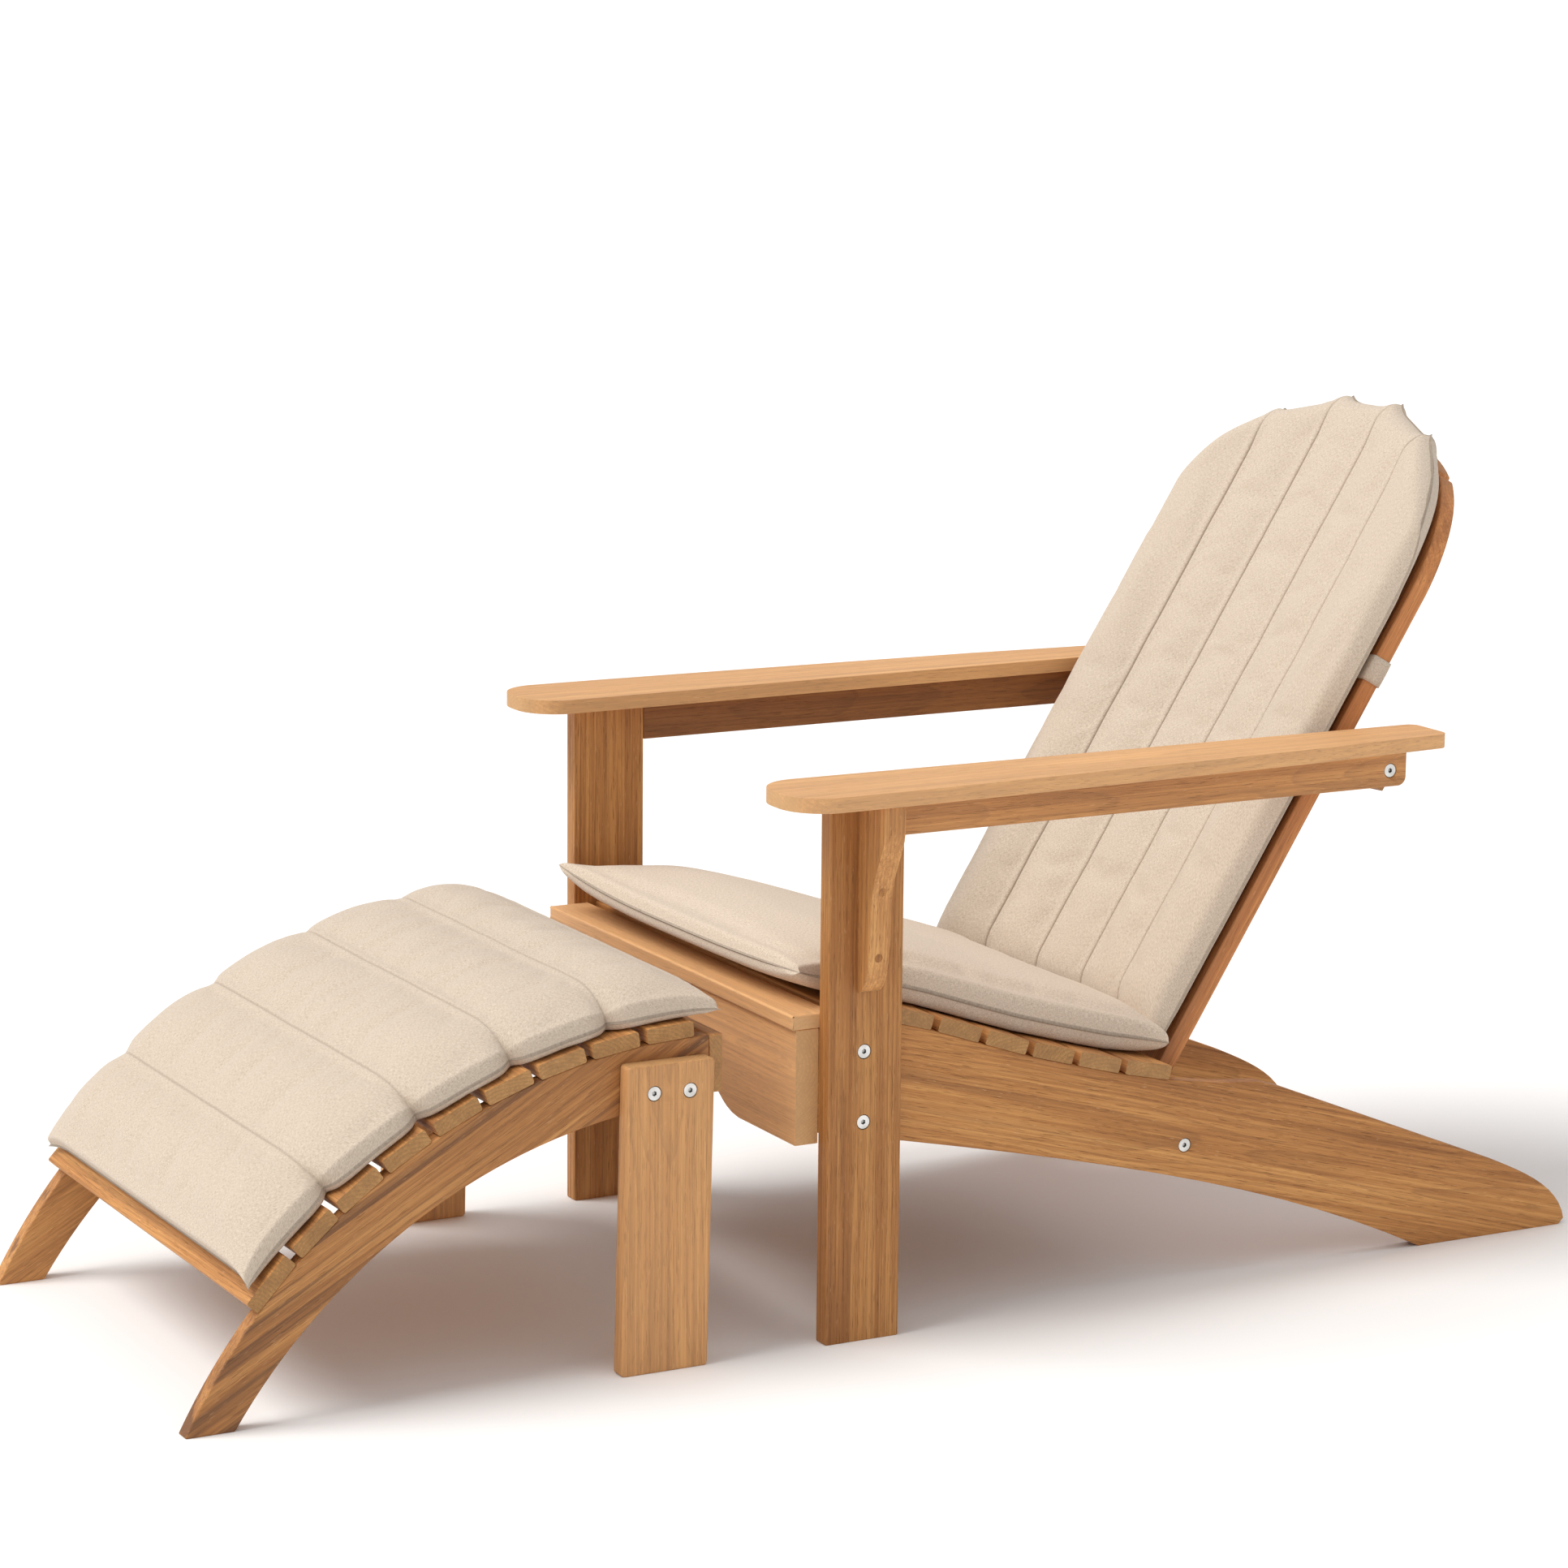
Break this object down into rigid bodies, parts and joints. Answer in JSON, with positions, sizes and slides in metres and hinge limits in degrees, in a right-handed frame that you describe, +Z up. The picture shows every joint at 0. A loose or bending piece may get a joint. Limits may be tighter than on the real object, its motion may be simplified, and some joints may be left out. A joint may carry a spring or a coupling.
{
  "type": "adirondack chair",
  "caption": "Slatted wooden adirondack lounge chair with broad flat arms, an arched back, tie-on channelled cushions and a matching arched footstool.",
  "frame": {"origin": "centre of the floor rectangle under the chair and footstool together", "axes": "+Z up, -Y the way the sitter faces, +X the sitter's left"},
  "size_m": [0.746, 1.6872, 0.9373],
  "materials": {
    "oiled_teak": "sanded and oiled teak boards with straight to swirling grain",
    "turned_wood": "plain hardwood dowels and plugs",
    "stainless_steel": "satin stainless fittings",
    "woven_cloth": "plain-woven heathered outdoor cloth over foam"
  },
  "bodies": {
    "chair": {"left_side_board": "oiled_teak", "right_side_board": "oiled_teak", "left_front_leg": "oiled_teak", "right_front_leg": "oiled_teak", "front_apron": "oiled_teak", "seat_nosing": "oiled_teak", "seat_slat_1": "oiled_teak", "seat_slat_2": "oiled_teak", "seat_slat_3": "oiled_teak", "seat_slat_4": "oiled_teak", "seat_slat_5": "oiled_teak", "seat_slat_6": "oiled_teak", "seat_slat_7": "oiled_teak", "left_armrest": "oiled_teak", "right_armrest": "oiled_teak", "left_arm_rail": "oiled_teak", "right_arm_rail": "oiled_teak", "left_arm_bracket": "oiled_teak", "right_arm_bracket": "oiled_teak", "bracket_screws": "stainless_steel", "bracket_plugs": "turned_wood", "back_slat_1": "oiled_teak", "back_slat_2": "oiled_teak", "back_slat_3": "oiled_teak", "back_slat_4": "oiled_teak", "back_slat_5": "oiled_teak", "lower_back_rail": "oiled_teak", "arm_level_back_rail": "oiled_teak", "upper_back_batten": "oiled_teak", "back_slat_screws": "stainless_steel", "frame_bolts": "stainless_steel", "leg_bolt_nuts": "stainless_steel", "rail_barrel_nuts": "stainless_steel", "seat_slat_dowels": "turned_wood", "apron_dowels": "turned_wood", "arm_dowels": "turned_wood", "seat_cushion": "woven_cloth", "back_cushion": "woven_cloth", "back_cushion_straps": "woven_cloth"},
    "footstool": {"stool_left_side_board": "oiled_teak", "stool_right_side_board": "oiled_teak", "stool_left_leg": "oiled_teak", "stool_right_leg": "oiled_teak", "stool_slat_1": "oiled_teak", "stool_slat_2": "oiled_teak", "stool_slat_3": "oiled_teak", "stool_slat_4": "oiled_teak", "stool_slat_5": "oiled_teak", "stool_slat_6": "oiled_teak", "stool_slat_7": "oiled_teak", "stool_slat_8": "oiled_teak", "stool_slat_9": "oiled_teak", "stool_end_board": "oiled_teak", "stool_bolts": "stainless_steel", "stool_bolt_nuts": "stainless_steel", "stool_slat_dowels": "turned_wood", "stool_end_dowels": "turned_wood", "stool_cushion": "woven_cloth"}
  },
  "joints": [
    {"name": "footstool_slide", "type": "slide", "parent": "chair", "child": "footstool", "axis": [0, -1, 0], "range_m": [-0.055, 0.4]}
  ]
}
